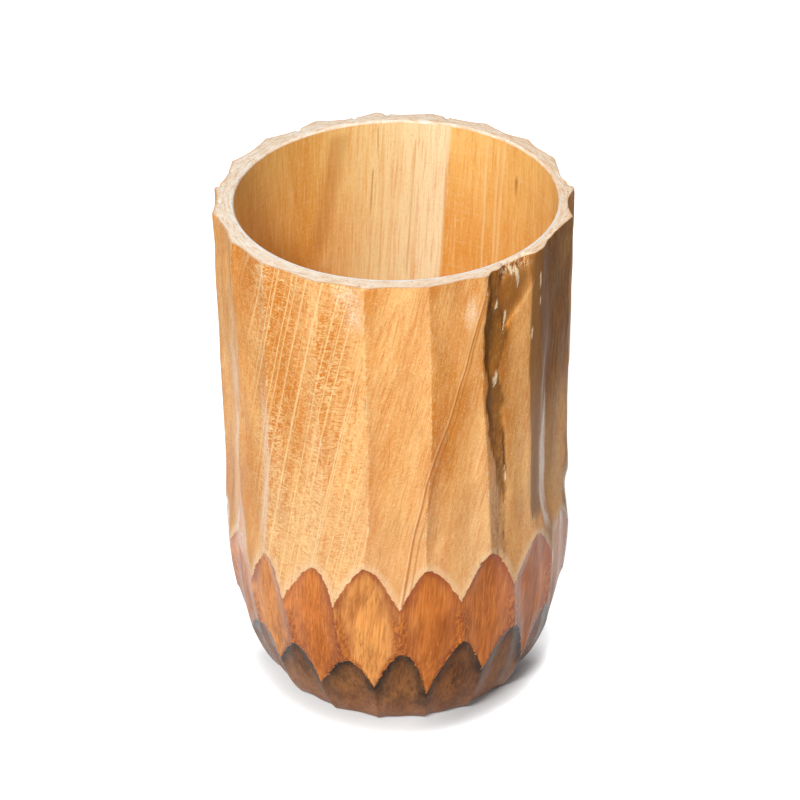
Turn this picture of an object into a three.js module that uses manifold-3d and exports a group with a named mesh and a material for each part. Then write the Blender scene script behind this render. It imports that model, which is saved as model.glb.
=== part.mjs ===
// A hand-carved fluted wooden cup, in millimetres, +Z up, standing on z = 0 with its axis on Z.
// A billet is bored on the lathe, then a gouge cuts every bit of its outside: long flutes down the
// wall, and below them two tiers of scales, each tier set half a flute round from the one above.
// The front of the cup faces -Y, and azimuths are in degrees from there towards +X.
import * as THREE from "three";
import { mergeVertices } from "three/addons/utils/BufferGeometryUtils.js";
import Module from "manifold-3d";

// The bore, the floor and the foot, as they are turned
const HEIGHT = 148;
const BORE_RADIUS = 42.5;
const BORE_SHIFT = 0.7; // how far the bore stands off the axis of the carving, towards +X
const BORE_CORNER = 22; // radius where the bore turns into the floor
const LIP_ROUNDING = 0.7; // the softened inner edge of the rim
const FLOOR_THICKNESS = 14;
const FOOT_RADIUS = 36; // out to a ridge between two scales
const FOOT_RING = 7; // width of the ring that the cup stands on
const FOOT_RECESS = 1.2; // hollow turned under the floor, inside the ring

// The disc that fills the hole where the heart of the billet was drilled out
const PLUG_RADIUS = 20;
const PLUG_SHOULDER = 4; // width of the step that the disc seats against
const PLUG_FLANGE = 6; // thickness of the disc's wide part
const GLUE_LINE = 0.15;

// How far out the ridges stand that are left between the cuts
const RIM_WALL = 5.2; // from the bore out to a ridge, at the rim
const BELLY = 0.7; // how much further out they stand at the belly
const BELLY_HEIGHT = 47.5; // where the wall starts to turn in to the foot
const BELLY_FADE = 25; // height over which the belly runs out into the straight wall
const FOOT_FULLNESS = 0.75; // 0.5 turns the wall in as an ellipse, 1 as a parabola

// The gouge, and the heights that it works to
const FLUTE_SWEEP = 29; // radius of the hollow that it leaves across a flute
const SCALE_SWEEP = 42; // and across a scale
const RIM_FLATNESS = 2; // 2 is a round hollow, and more a flat floor between steep sides
const WALL_FLATNESS = 3.2; // lower down, where the gouge has gone over each cut more than once
const LOW_WALL = 90; // up to here the cuts are as flat as that
const HIGH_WALL = 125; // and from here on round
const RIDGE_BEND = 5; // above 1 a ridge runs straight down and bends to its point at the end
const UPPER_POINT = 59;
const UPPER_NOTCH = 47; // where two upper scales and the flute above them meet
const LOWER_POINT = 30.5;
const LOWER_NOTCH = 16.5;
const LEFT_BLUNTNESS = 1.3; // 1 gives a scale the straight side of an arrowhead, 2 a parabola's
const RIGHT_BLUNTNESS = 1.8; // every scale bulges more on its right
const FLUTE_RUN_OUT = 27; // height over which the gouge lifts out of a flute above its notch
const SCALE_RUN_OUT = 22; // and out of an upper scale above its own

// The layout by eye, one line for each ridge from the front round by +X. First the ridge's azimuth
// at the rim and how hollow the flute after it is. Then, for the upper point under the ridge, the
// notch after it, the lower point under that notch, and the lower notch under the upper point, how
// many degrees round and how many millimetres up each strays from an even layout.
const LAYOUT = [
  [-9, 0.35, [-2, 2], [1, 1], [1, 1.5], [1.5, 1.5]],
  [10.5, 0.35, [-1, 1.5], [-0.5, 1.5], [0.5, 3.5], [1, -1.5]],
  [29, 0.45, [2.5, 2], [-1, 0.5], [0, 1.5], [-1.5, 4]],
  [51, 0.4, [1.5, 0], [-1, 1.5], [0.5, 0], [-1, -1]],
  [75.5, 1.4, [-4.5, -1], [0, 0.5], [-1, 1], [0.5, 1]],
  [93.5, 1, [-1, 0.5], [1, -1], [1, -1], [-1, 0]],
  [114, 0.8, [-2.5, 1.5], [-0.5, 0.5], [0, 1.5], [1.5, 1.5]],
  [129.5, 0.9, [1, -0.5], [0.5, 1], [-1.5, 0], [0, -1]],
  [147.5, 0.7, [0.5, 0.5], [0, -0.5], [0.5, -1.5], [-1, 1]],
  [166.5, 0.8, [-1, 1.5], [-1, 0.5], [1, 1], [0.5, 0]],
  [185.5, 0.9, [1, -1], [1, -1], [-0.5, 0.5], [1, -1.5]],
  [206.5, 0.8, [-1.5, 0], [0, 1], [0, -1], [-0.5, 1]],
  [226.5, 1, [-0.5, 1], [-1, 0], [1, 0.5], [0, 0]],
  [245, 1.1, [0.5, -0.5], [0.5, -1], [-1, -0.5], [1, 1]],
  [263.5, 1.1, [-1, -1.5], [0, -2], [0.5, -1.5], [-1, -1]],
  [279.5, 0.6, [-3.5, -3], [-1, -3.5], [0, -2], [0.5, 0]],
  [299.5, 0.3, [-8.5, -6], [0.5, -5], [1, -3], [-0.5, 1]],
  [315.5, 0.3, [-4, -3.5], [-3, -3.5], [-1, -2.5], [-0.5, 1]],
  [336, 0.8, [-4.5, -0.5], [-1.5, 0], [1.5, -2.5], [-1, -1.5]],
];

// How finely the cuts and the turning are divided
const TURNING_SIDES = 96;
const CUT_COLUMNS = 6; // across every cut
const WALL_ROWS = 6; // down a ridge of the wall
const EDGE_ROWS = 4; // down one side of a scale's point
const SCALE_ROWS = 2; // down a ridge between two scales
const FOOT_ROWS = 4; // from a lower notch down to the foot

const rimRidge = BORE_RADIUS + RIM_WALL;
const bellyRidge = rimRidge + BELLY;
const shoulderRadius = PLUG_RADIUS - PLUG_SHOULDER;
const shoulderHeight = FOOT_RECESS + PLUG_FLANGE;
const recessRadius = FOOT_RADIUS - FOOT_RING;
const radians = THREE.MathUtils.degToRad;

const wasm = await Module();
wasm.setup();

// A closed three.js geometry as a solid that can be cut
function solid(geometry) {
  const bare = geometry.index ? geometry.toNonIndexed() : geometry.clone();
  bare.deleteAttribute("normal");
  bare.deleteAttribute("uv");
  const merged = mergeVertices(bare, 1e-4);
  return new wasm.Manifold(
    new wasm.Mesh({
      numProp: 3,
      vertProperties: merged.attributes.position.array,
      triVerts: new Uint32Array(merged.index.array),
    }),
  );
}

// A cut solid as a three.js geometry again
function geometryOf(cut) {
  const { numProp, vertProperties, triVerts } = cut.getMesh();
  const geometry = new THREE.BufferGeometry();
  const corners = new THREE.InterleavedBuffer(new Float32Array(vertProperties), numProp);
  geometry.setAttribute("position", new THREE.InterleavedBufferAttribute(corners, 3, 0));
  geometry.setIndex(new THREE.BufferAttribute(new Uint32Array(triVerts), 1));
  const faceted = geometry.toNonIndexed();
  faceted.computeVertexNormals();
  return faceted;
}

// The radius out to the ridges at a height: straight down the wall, out a little to the belly, and
// then in to the foot on a curve that is steepest where it meets the ground
function ridgeRadius(z) {
  if (z > BELLY_HEIGHT) {
    const fade = THREE.MathUtils.smoothstep(z, BELLY_HEIGHT, BELLY_HEIGHT + BELLY_FADE);
    return bellyRidge - BELLY * fade;
  }
  const rise = 1 - (1 - z / BELLY_HEIGHT) ** 2;
  return FOOT_RADIUS + (bellyRidge - FOOT_RADIUS) * rise ** FOOT_FULLNESS;
}

// The corners where cuts meet, as [azimuth, height]. They go by the number of their ridge, and the
// numbers run on past the last ridge, a turn further round.
const count = LAYOUT.length;
const line = (i) => LAYOUT[((i % count) + count) % count];
const ridgeAt = (i) => line(i)[0] + 360 * Math.floor(i / count);
const strayed = (azimuth, z, [round, up]) => [azimuth + round, z + up];
const rimCorner = (i) => [ridgeAt(i), HEIGHT];
const upperPoint = (i) => strayed(ridgeAt(i), UPPER_POINT, line(i)[2]);
const under = (i) => (upperPoint(i)[0] + upperPoint(i + 1)[0]) / 2;
const upperNotch = (i) => strayed(under(i), UPPER_NOTCH, line(i)[3]);
const lowerPoint = (i) => strayed(under(i), LOWER_POINT, line(i)[4]);
const lowerNotch = (i) => strayed(upperPoint(i)[0], LOWER_NOTCH, line(i)[5]);
const footCorner = (i) => [lowerNotch(i)[0], 0];

// A row of points from one corner down to another, with the first left out. A bluntness above 1
// makes it leave the first corner sideways and end steep, as the side of a scale's point does, and
// a bend above 1 makes it start upright and end sideways.
function edge([fromAzimuth, fromZ], [toAzimuth, toZ], rows, bluntness = 1, bend = 1) {
  return Array.from({ length: rows }, (_, i) => {
    const share = (i + 1) / rows;
    const azimuth = THREE.MathUtils.lerp(fromAzimuth, toAzimuth, share ** bend);
    return [azimuth, THREE.MathUtils.lerp(fromZ, toZ, share ** bluntness)];
  });
}

// The ridges and edges that the cuts share, so that neighbours meet without a gap
const wallRidge = (i) => edge(rimCorner(i), upperPoint(i), WALL_ROWS, 1, RIDGE_BEND);
const scaleRidge = (i) => edge(upperNotch(i), lowerPoint(i), SCALE_ROWS);
const footRidge = (i) => edge(lowerNotch(i), footCorner(i), FOOT_ROWS);
const bluntness = (point, notch) => (notch[0] < point[0] ? LEFT_BLUNTNESS : RIGHT_BLUNTNESS);
const side = (point, notch) => edge(point, notch, EDGE_ROWS, bluntness(point, notch));

// Every cut as its left and right side, from the top down. At its closing row the next tier's
// points stand on its two ridges, and from there on it is cut off by their sides. A scale opens
// between the two cuts above it, and its gouge lifts out of the wood above its lowest corner.
const flute = (i) => ({
  left: [rimCorner(i), ...wallRidge(i), ...side(upperPoint(i), upperNotch(i))],
  right: [rimCorner(i + 1), ...wallRidge(i + 1), ...side(upperPoint(i + 1), upperNotch(i))],
  closing: WALL_ROWS,
  curving: line(i)[1] / FLUTE_SWEEP,
  runOut: FLUTE_RUN_OUT,
});
const upperScale = (i) => ({
  left: [
    upperPoint(i),
    ...side(upperPoint(i), upperNotch(i - 1)),
    ...scaleRidge(i - 1),
    ...side(lowerPoint(i - 1), lowerNotch(i)),
  ],
  right: [
    upperPoint(i),
    ...side(upperPoint(i), upperNotch(i)),
    ...scaleRidge(i),
    ...side(lowerPoint(i), lowerNotch(i)),
  ],
  between: [flute(i - 1), flute(i)],
  closing: EDGE_ROWS + SCALE_ROWS,
  curving: 1 / SCALE_SWEEP,
  runOut: SCALE_RUN_OUT,
});
const lowerScale = (i) => ({
  left: [lowerPoint(i), ...side(lowerPoint(i), lowerNotch(i)), ...footRidge(i)],
  right: [lowerPoint(i), ...side(lowerPoint(i), lowerNotch(i + 1)), ...footRidge(i + 1)],
  between: [upperScale(i), upperScale(i + 1)],
  closing: EDGE_ROWS + FOOT_ROWS,
  curving: 1 / SCALE_SWEEP,
  runOut: 0,
});

// The power that shapes a cut's hollow at a height
function flatness(z) {
  const round = THREE.MathUtils.smoothstep(z, LOW_WALL, HIGH_WALL);
  return THREE.MathUtils.lerp(WALL_FLATNESS, RIM_FLATNESS, round);
}

// How far a cut's floor lies inside the ridges' circle at a place on one of its rows: a hollow of
// the gouge's sweep across the cut's whole width, shallower where the gouge lifts out
function floorDepth({ left, right, closing, curving, runOut }, row, azimuth, z) {
  const [from] = left[Math.min(row, closing)];
  const [to] = right[Math.min(row, closing)];
  if (to - from < 1e-6) return 0;
  const ridge = ridgeRadius(z);
  const width = ridge * radians(to - from);
  const across = Math.abs((2 * azimuth - from - to) / (to - from));
  const hollow = 1 - across ** flatness(z);
  const [, lowest] = left[left.length - 1];
  const lift = runOut ? THREE.MathUtils.clamp((z - lowest) / runOut, 0, 1) : 1;
  return (width ** 2 / 8) * hollow * (1 / ridge + curving) * lift * (2 - lift);
}

// The surface of one cut, as rows of points. Where a scale opens, its own floor starts from the
// floors of the two cuts above it, so that its sides lie on them.
function surface(cut) {
  return cut.left.map((leftEnd, row) => {
    const ends = [leftEnd, cut.right[row]];
    const starts = ends.map(([azimuth, z], i) => {
      const above = row <= EDGE_ROWS && cut.between?.[i];
      return above ? floorDepth(above, above.closing, azimuth, z) : 0;
    });
    return Array.from({ length: CUT_COLUMNS + 1 }, (_, column) => {
      const share = column / CUT_COLUMNS;
      const azimuth = THREE.MathUtils.lerp(ends[0][0], ends[1][0], share);
      const z = THREE.MathUtils.lerp(ends[0][1], ends[1][1], share);
      const start = THREE.MathUtils.lerp(starts[0], starts[1], share);
      const r = ridgeRadius(z) - start - floorDepth(cut, row, azimuth, z);
      return new THREE.Vector3(r * Math.sin(radians(azimuth)), -r * Math.cos(radians(azimuth)), z);
    });
  });
}

// The billet with its outside carved and its inside still solid: all the cuts, closed by a flat
// face at the rim and one at the foot
function carvedBillet() {
  const corners = [];
  const face = (a, b, c) => {
    if (a.distanceTo(b) > 1e-3 && b.distanceTo(c) > 1e-3 && c.distanceTo(a) > 1e-3) {
      corners.push(a, b, c);
    }
  };
  const rim = new THREE.Vector3(0, 0, HEIGHT);
  const foot = new THREE.Vector3(0, 0, 0);
  LAYOUT.forEach((_, i) => {
    [flute(i), upperScale(i), lowerScale(i)].map(surface).forEach((rows, tier) => {
      for (let column = 0; column < CUT_COLUMNS; column++) {
        for (let row = 1; row < rows.length; row++) {
          const [above, below] = [rows[row - 1], rows[row]];
          face(above[column], below[column], above[column + 1]);
          face(above[column + 1], below[column], below[column + 1]);
        }
        const [first, last] = [rows[0], rows[rows.length - 1]];
        if (tier === 0) face(rim, first[column], first[column + 1]);
        if (tier === 2) face(foot, last[column + 1], last[column]);
      }
    });
  });
  return solid(new THREE.BufferGeometry().setFromPoints(corners));
}

// Points of a circular arc from one angle to another, in the plane of a turning profile
function arc(r, z, radius, from, to, steps) {
  return Array.from({ length: steps + 1 }, (_, i) => {
    const angle = radians(from + ((to - from) * i) / steps);
    return new THREE.Vector2(r + radius * Math.cos(angle), z + radius * Math.sin(angle));
  });
}

// A closed profile of radius against height, turned about Z. It runs up on the outside.
function turned(profile) {
  const geometry = new THREE.LatheGeometry([...profile, profile[0]], TURNING_SIDES);
  return geometry.rotateX(Math.PI / 2);
}

// What the lathe takes out from above, running on past the rim
function bore() {
  const mouth = BORE_RADIUS + LIP_ROUNDING;
  const wood = turned([
    new THREE.Vector2(0, FLOOR_THICKNESS),
    ...arc(BORE_RADIUS - BORE_CORNER, FLOOR_THICKNESS + BORE_CORNER, BORE_CORNER, -90, 0, 8),
    ...arc(mouth, HEIGHT - LIP_ROUNDING, LIP_ROUNDING, 180, 90, 3),
    new THREE.Vector2(mouth, HEIGHT + LIP_ROUNDING),
    new THREE.Vector2(0, HEIGHT + LIP_ROUNDING),
  ]);
  return wood.translate(BORE_SHIFT, 0, 0);
}

// What it takes out from below: the recess under the foot and the stepped hole for the plug
function underside() {
  return turned([
    new THREE.Vector2(0, -FOOT_RECESS),
    new THREE.Vector2(recessRadius, -FOOT_RECESS),
    new THREE.Vector2(recessRadius, FOOT_RECESS),
    new THREE.Vector2(PLUG_RADIUS, FOOT_RECESS),
    new THREE.Vector2(PLUG_RADIUS, shoulderHeight),
    new THREE.Vector2(shoulderRadius, shoulderHeight),
    new THREE.Vector2(shoulderRadius, FLOOR_THICKNESS + LIP_ROUNDING),
    new THREE.Vector2(0, FLOOR_THICKNESS + LIP_ROUNDING),
  ]);
}

// The plug, pushed up from below until its wide part meets the step in the floor
function plug() {
  return turned([
    new THREE.Vector2(0, FOOT_RECESS),
    new THREE.Vector2(PLUG_RADIUS - GLUE_LINE, FOOT_RECESS),
    new THREE.Vector2(PLUG_RADIUS - GLUE_LINE, shoulderHeight),
    new THREE.Vector2(shoulderRadius - GLUE_LINE, shoulderHeight),
    new THREE.Vector2(shoulderRadius - GLUE_LINE, FLOOR_THICKNESS),
    new THREE.Vector2(0, FLOOR_THICKNESS),
  ]);
}

function piece(name, geometry, colour, roughness) {
  const finish = new THREE.MeshStandardMaterial({ color: colour, roughness, metalness: 0 });
  const mesh = new THREE.Mesh(geometry, finish);
  mesh.name = name;
  return mesh;
}

const body = carvedBillet().subtract(solid(bore())).subtract(solid(underside()));
const cup = new THREE.Group();
cup.add(piece("carved_body", geometryOf(body), 0xcf9552, 0.45));
cup.add(piece("base_plug", plug(), 0xb9824a, 0.6));

export default cup;
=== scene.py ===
"""A hand-carved fluted wooden cup, in metres, standing on z = 0 with its axis on Z and its front to -Y."""
import math

import bpy
import numpy as np
from mathutils import Matrix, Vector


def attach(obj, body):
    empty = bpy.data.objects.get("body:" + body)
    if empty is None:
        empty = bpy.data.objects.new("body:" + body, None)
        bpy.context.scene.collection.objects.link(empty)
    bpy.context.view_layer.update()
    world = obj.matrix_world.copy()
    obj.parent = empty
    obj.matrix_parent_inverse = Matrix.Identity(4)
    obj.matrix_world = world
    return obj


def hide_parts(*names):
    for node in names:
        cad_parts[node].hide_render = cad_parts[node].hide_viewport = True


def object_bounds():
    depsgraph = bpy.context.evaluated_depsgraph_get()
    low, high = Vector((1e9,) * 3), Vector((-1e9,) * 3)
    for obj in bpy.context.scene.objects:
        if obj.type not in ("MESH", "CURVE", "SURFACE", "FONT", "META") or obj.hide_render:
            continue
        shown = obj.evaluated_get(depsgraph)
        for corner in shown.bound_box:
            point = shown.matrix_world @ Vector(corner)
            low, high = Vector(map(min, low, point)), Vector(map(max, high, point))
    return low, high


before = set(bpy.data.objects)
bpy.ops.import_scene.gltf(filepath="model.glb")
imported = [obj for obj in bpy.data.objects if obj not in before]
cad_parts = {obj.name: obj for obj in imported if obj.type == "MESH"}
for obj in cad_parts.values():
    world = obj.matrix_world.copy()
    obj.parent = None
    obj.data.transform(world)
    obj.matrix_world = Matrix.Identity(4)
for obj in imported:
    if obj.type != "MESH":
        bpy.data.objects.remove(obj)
cad_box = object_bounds()

# The cup itself: one billet of pale wood, bored smooth on the lathe, with nineteen flutes and two
# tiers of scales cut round its outside with a gouge. The scales are stained, and the whole is then
# lacquered, except the sawn face of the rim and the underside.
MM = 0.001
HEIGHT = 148
BORE_RADIUS = 42.5
BORE_SHIFT = 0.7
BORE_CORNER = 22
LIP_ROUNDING = 0.7
FLOOR_THICKNESS = 14
FOOT_RADIUS = 36
FOOT_RING = 7
FOOT_RECESS = 1.2
PLUG_RADIUS = 20
PLUG_SHOULDER = 4
PLUG_FLANGE = 6
RIM_WALL = 5.2
BELLY = 0.7
BELLY_HEIGHT = 47.5
BELLY_FADE = 25
FOOT_FULLNESS = 0.75
FLUTE_SWEEP = 29
SCALE_SWEEP = 42
RIM_FLATNESS = 2
WALL_FLATNESS = 3.2
LOW_WALL = 90
HIGH_WALL = 125
RIDGE_BEND = 5
UPPER_POINT = 59
UPPER_NOTCH = 47
LOWER_POINT = 30.5
LOWER_NOTCH = 16.5
LEFT_BLUNTNESS = 1.3
RIGHT_BLUNTNESS = 1.8
FLUTE_RUN_OUT = 27
SCALE_RUN_OUT = 22

# One line for each ridge from the front round by +X: its azimuth at the rim, how hollow the flute
# after it is, and then how many degrees round and millimetres up the upper point, the upper notch,
# the lower point and the lower notch stray from an even layout.
LAYOUT = np.array([
    [-9, 0.35, -2, 2, 1, 1, 1, 1.5, 1.5, 1.5],
    [10.5, 0.35, -1, 1.5, -0.5, 1.5, 0.5, 3.5, 1, -1.5],
    [29, 0.45, 2.5, 2, -1, 0.5, 0, 1.5, -1.5, 4],
    [51, 0.4, 1.5, 0, -1, 1.5, 0.5, 0, -1, -1],
    [75.5, 1.4, -4.5, -1, 0, 0.5, -1, 1, 0.5, 1],
    [93.5, 1, -1, 0.5, 1, -1, 1, -1, -1, 0],
    [114, 0.8, -2.5, 1.5, -0.5, 0.5, 0, 1.5, 1.5, 1.5],
    [129.5, 0.9, 1, -0.5, 0.5, 1, -1.5, 0, 0, -1],
    [147.5, 0.7, 0.5, 0.5, 0, -0.5, 0.5, -1.5, -1, 1],
    [166.5, 0.8, -1, 1.5, -1, 0.5, 1, 1, 0.5, 0],
    [185.5, 0.9, 1, -1, 1, -1, -0.5, 0.5, 1, -1.5],
    [206.5, 0.8, -1.5, 0, 0, 1, 0, -1, -0.5, 1],
    [226.5, 1, -0.5, 1, -1, 0, 1, 0.5, 0, 0],
    [245, 1.1, 0.5, -0.5, 0.5, -1, -1, -0.5, 1, 1],
    [263.5, 1.1, -1, -1.5, 0, -2, 0.5, -1.5, -1, -1],
    [279.5, 0.6, -3.5, -3, -1, -3.5, 0, -2, 0.5, 0],
    [299.5, 0.3, -8.5, -6, 0.5, -5, 1, -3, -0.5, 1],
    [315.5, 0.3, -4, -3.5, -3, -3.5, -1, -2.5, -0.5, 1],
    [336, 0.8, -4.5, -0.5, -1.5, 0, 1.5, -2.5, -1, -1.5],
])
RIDGES = len(LAYOUT)
CUT_COLUMNS = 24
WALL_ROWS = 80
EDGE_ROWS = 14
SCALE_ROWS = 10
FOOT_ROWS = 14
chance = np.random.default_rng(19)


def smooth(value, low, high):
    """0 below low, 1 above high, and between them 3s^2 - 2s^3 of the share s of the way."""
    share = np.clip((value - low) / (high - low), 0, 1)
    return share * share * (3 - 2 * share)


def within(value, low, full_low, full_high, high):
    """0 below low and above high, 1 between the two full values, and smooth between those."""
    return smooth(value, low, full_low) * (1 - smooth(value, full_high, high))


def ridge_radius(z):
    """The radius out to the ridges at a height: straight wall, a low belly, and below it the foot
    radius plus the rest times (1 - (1 - z/belly height)^2) to the power of the foot's fullness."""
    rim_ridge = BORE_RADIUS + RIM_WALL
    belly_ridge = rim_ridge + BELLY
    wall = belly_ridge - BELLY * smooth(z, BELLY_HEIGHT, BELLY_HEIGHT + BELLY_FADE)
    rise = 1 - (1 - np.clip(z, 0, BELLY_HEIGHT) / BELLY_HEIGHT) ** 2
    below = FOOT_RADIUS + (belly_ridge - FOOT_RADIUS) * rise ** FOOT_FULLNESS
    return np.where(z > BELLY_HEIGHT, wall, below)


def beside(corners, step):
    """The corners of the ridge that is some steps further round, with a turn added past the last."""
    turns = (np.arange(RIDGES) + step) // RIDGES
    return np.roll(corners, -step, axis=0) + np.stack([360.0 * turns, 0 * turns], axis=1)


def edge(start, end, rows, bluntness=1.0, bend=1.0):
    """Points (azimuth, height) from one corner to another, without the first: the azimuth goes by
    the share of the way to the power of the bend, and the height to that of the bluntness."""
    share = np.arange(1, rows + 1) / rows
    powers = np.stack([share ** bend, share ** bluntness], axis=1)
    return start[:, None] + (end - start)[:, None] * powers


def side_of_cuts(start, *legs):
    """One side of every cut of a tier: its first corner, and then edge after edge, each to the corner
    and with the rows and powers that are given."""
    parts = [start[:, None]]
    for end, rows, *powers in legs:
        parts.append(edge(start, end, rows, *powers))
        start = end
    return np.concatenate(parts, axis=1)


def floor_depth(azimuth, z, left, right, curving, lowest, run_out):
    """How deep a gouge's floor lies below the ridges' circle: width^2/8 * (1 - |u|^n) * (1/ridge
    radius + the gouge's curving), with u from -1 to 1 across the cut and n 2 for a round hollow and
    more for a flat floor between steep sides. It is shallower where the gouge lifts out."""
    ridge = ridge_radius(z)
    span = np.maximum(right - left, 1e-9)
    flatness = WALL_FLATNESS + (RIM_FLATNESS - WALL_FLATNESS) * smooth(z, LOW_WALL, HIGH_WALL)
    hollow = 1 - np.minimum(np.abs(2 * azimuth - left - right) / span, 1) ** flatness
    lift = np.clip((z - lowest) / run_out, 0, 1) if run_out else 1.0
    return (ridge * np.radians(span)) ** 2 / 8 * hollow * (1 / ridge + curving) * lift * (2 - lift)


def cut(left, right, closing, curving, run_out, above=None):
    """One tier of cuts as arrays of azimuth, radius and height by cut, row and column. Every row is
    straight from its left to its right end, and its radius is the ridges' less the floor's depth.
    A scale's first rows start from the floors of the two cuts above it."""
    across = np.linspace(0, 1, CUT_COLUMNS + 1)
    azimuth = left[:, :, None, 0] + (right - left)[:, :, None, 0] * across
    z = left[:, :, None, 1] + (right - left)[:, :, None, 1] * across
    rows = np.minimum(np.arange(left.shape[1]), closing)
    lowest = left[:, -1, 1][:, None, None]
    span = left[:, rows, 0][:, :, None], right[:, rows, 0][:, :, None]
    depth = floor_depth(azimuth, z, *span, curving, lowest, run_out)
    if above:
        starts = []
        for end, (from_azimuth, to_azimuth, bend, notch, lift) in zip((left, right), above):
            start = floor_depth(end[..., 0], end[..., 1], from_azimuth, to_azimuth, bend, notch, lift)
            start[:, EDGE_ROWS + 1:] = 0
            starts.append(start)
        depth += starts[0][:, :, None] + (starts[1] - starts[0])[:, :, None] * across
    return azimuth, ridge_radius(z) - depth, z


def net_corner(azimuth, height, stray):
    """A corner for each ridge, moved off its even place by the two strays from this column on."""
    return np.stack([azimuth + LAYOUT[:, stray], height + LAYOUT[:, stray + 1]], axis=1)


ridge_azimuth = LAYOUT[:, 0]
rim_corner = np.stack([ridge_azimuth, np.full(RIDGES, HEIGHT)], axis=1)
upper_point = net_corner(ridge_azimuth, UPPER_POINT, 2)
under = (upper_point + beside(upper_point, 1))[:, 0] / 2
upper_notch = net_corner(under, UPPER_NOTCH, 4)
lower_point = net_corner(under, LOWER_POINT, 6)
lower_notch = net_corner(upper_point[:, 0], LOWER_NOTCH, 8)
foot_corner = lower_notch * [1, 0]
next_rim = beside(rim_corner, 1)
next_upper = beside(upper_point, 1)
last_notch = beside(upper_notch, -1)
last_lower = beside(lower_point, -1)
next_low_notch = beside(lower_notch, 1)

# The rows and the bluntness of an edge that runs down leftward from a point, and of one rightward
leftward, rightward = (EDGE_ROWS, LEFT_BLUNTNESS), (EDGE_ROWS, RIGHT_BLUNTNESS)
flutes = cut(
    side_of_cuts(rim_corner, (upper_point, WALL_ROWS, 1, RIDGE_BEND), (upper_notch, *rightward)),
    side_of_cuts(next_rim, (next_upper, WALL_ROWS, 1, RIDGE_BEND), (upper_notch, *leftward)),
    WALL_ROWS, LAYOUT[:, 1][:, None, None] / FLUTE_SWEEP, FLUTE_RUN_OUT)


def above_flute(step):
    """What the sides of an upper scale need to know of the flute that they are cut into."""
    left, right = beside(upper_point, step), beside(upper_point, step + 1)
    bend = np.roll(LAYOUT[:, 1], -step) / FLUTE_SWEEP
    return left[:, :1], right[:, :1], bend[:, None], beside(upper_notch, step)[:, 1:], FLUTE_RUN_OUT


def above_scale(step):
    """And the sides of a lower scale of the upper scale that they are cut into."""
    left, right = beside(lower_point, step - 1), beside(lower_point, step)
    return left[:, :1], right[:, :1], 1 / SCALE_SWEEP, beside(lower_notch, step)[:, 1:], SCALE_RUN_OUT


upper_scales = cut(
    side_of_cuts(upper_point, (last_notch, *leftward), (last_lower, SCALE_ROWS), (lower_notch, *rightward)),
    side_of_cuts(upper_point, (upper_notch, *rightward), (lower_point, SCALE_ROWS), (lower_notch, *leftward)),
    EDGE_ROWS + SCALE_ROWS, 1 / SCALE_SWEEP, SCALE_RUN_OUT, (above_flute(-1), above_flute(0)))
lower_scales = cut(
    side_of_cuts(lower_point, (lower_notch, *leftward), (foot_corner, FOOT_ROWS)),
    side_of_cuts(lower_point, (next_low_notch, *rightward), (beside(foot_corner, 1), FOOT_ROWS)),
    EDGE_ROWS + FOOT_ROWS, 1 / SCALE_SWEEP, 0, (above_scale(0), above_scale(1)))


def waves(azimuth, z, number, most_round, longest, shortest):
    """A sum of sines in random directions, scaled to about one. Each has a whole number of periods
    round the cup, so the sum meets itself, and a wavelength up the cup between two lengths in mm."""
    total = 0.0
    for _ in range(number):
        periods = chance.integers(0, most_round + 1)
        rate = math.tau / chance.uniform(shortest, longest) * chance.choice([-1, 1])
        total = total + np.sin(periods * np.radians(azimuth) + rate * z + chance.uniform(0, math.tau))
    return total / math.sqrt(number / 2)


def patches(azimuth, z, around, tall):
    """Value noise from -1 to 1: a random number at each crossing of a net with so many cells round
    the cup, each so many mm tall, and between the crossings the smoothly weighted mean of four."""
    table = chance.uniform(-1, 1, (around, int(HEIGHT / tall) + 3))
    across, up = azimuth / 360 * around, z / tall
    column, row = np.floor(across).astype(int), np.floor(up).astype(int)
    s, t = smooth(across - column, 0, 1), smooth(up - row, 0, 1)
    low = table[column % around, row] * (1 - s) + table[(column + 1) % around, row] * s
    high = table[column % around, row + 1] * (1 - s) + table[(column + 1) % around, row + 1] * s
    return low * (1 - t) + high * t


def gap_round(azimuth, to):
    """The distance in mm round the wall from one azimuth to another, the shorter way."""
    return np.radians((azimuth - to + 180) % 360 - 180) * (BORE_RADIUS + RIM_WALL)


def between(z, table, column):
    """A column of a table of heights, read off in a straight line between its rows."""
    rows = np.array(table)[::-1]
    return np.interp(z, rows[:, 0], rows[:, column])


# Every point of the outside, tier after tier, as (azimuth, radius, height), and the three points of
# every triangle between neighbouring rows and columns
tiers = [np.stack(tier, axis=-1) for tier in (flutes, upper_scales, lower_scales)]
points = np.concatenate([tier.reshape(-1, 3) for tier in tiers])
carved = []
first_of_tier = []
count = 0
for tier in tiers:
    index = count + np.arange(tier[..., 0].size).reshape(tier.shape[:3])
    first_of_tier.append(index)
    a, b, c, d = index[:, :-1, :-1], index[:, 1:, :-1], index[:, :-1, 1:], index[:, 1:, 1:]
    carved += [np.stack(three, axis=-1).reshape(-1, 3) for three in ((a, b, c), (c, b, d))]
    count += index.size
carved = np.concatenate(carved)

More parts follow.
